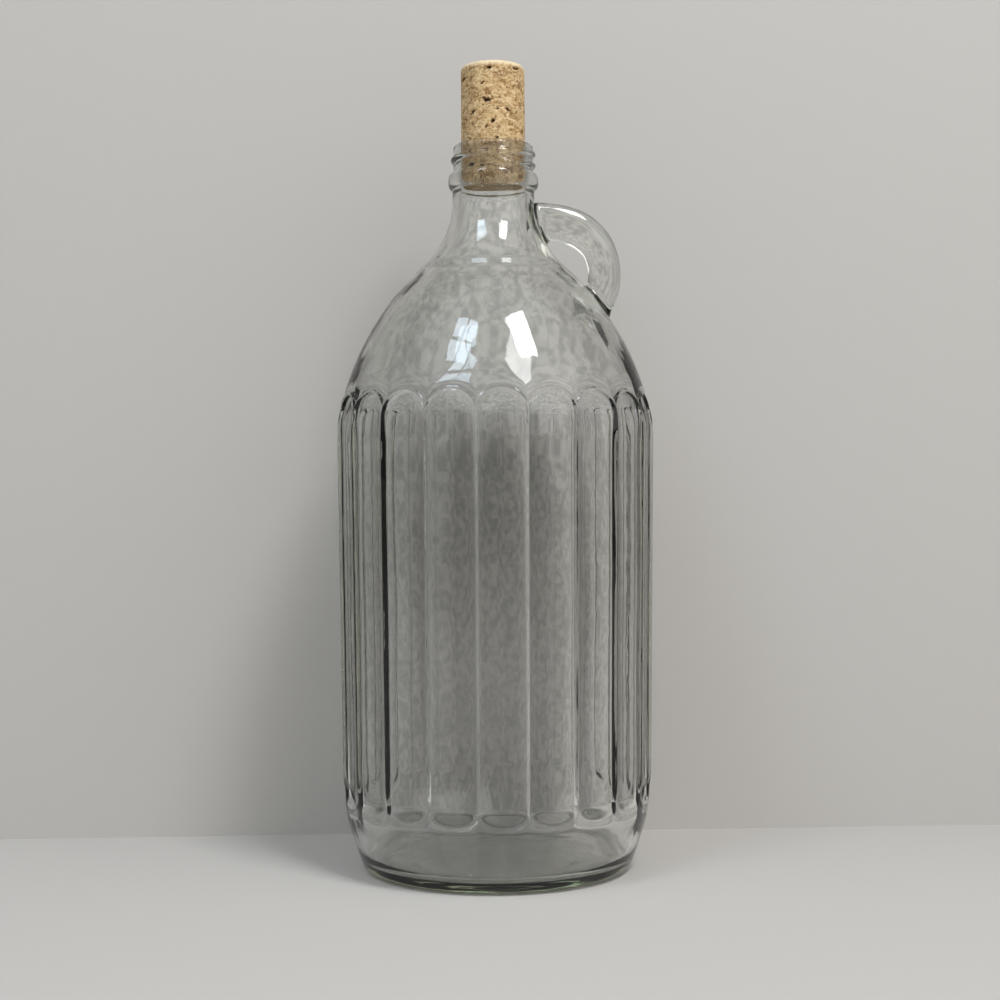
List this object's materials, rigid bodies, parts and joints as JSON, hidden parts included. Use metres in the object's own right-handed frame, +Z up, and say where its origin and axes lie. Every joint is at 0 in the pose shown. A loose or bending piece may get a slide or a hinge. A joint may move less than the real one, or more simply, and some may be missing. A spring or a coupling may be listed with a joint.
{
  "type": "corked glass jug",
  "caption": "Round fluted clear glass jug with a domed shoulder, a one-finger ring handle at the neck, a screw-thread mouth and a straight cork stopper.",
  "frame": {"origin": "centre of the base, on the surface that the jug stands on", "axes": "+Z up along the jug's axis to the mouth, +X towards the ring handle, +Y to the left of the handle seen from above"},
  "size_m": [0.1174, 0.1174, 0.3009],
  "materials": {
    "clear_glass": "clear pressed glass with a slight grey-green cast, glossy and gently wavy",
    "cork": "matt agglomerated cork granules with dark pits and cut edges"
  },
  "bodies": {
    "jug": {"glass_jug": "clear_glass"},
    "stopper": {"cork_stopper": "cork"}
  },
  "joints": [
    {"name": "stopper_pull", "type": "slide", "parent": "jug", "child": "stopper", "axis": [0, 0, 1], "range_m": [0, 0.045]}
  ]
}
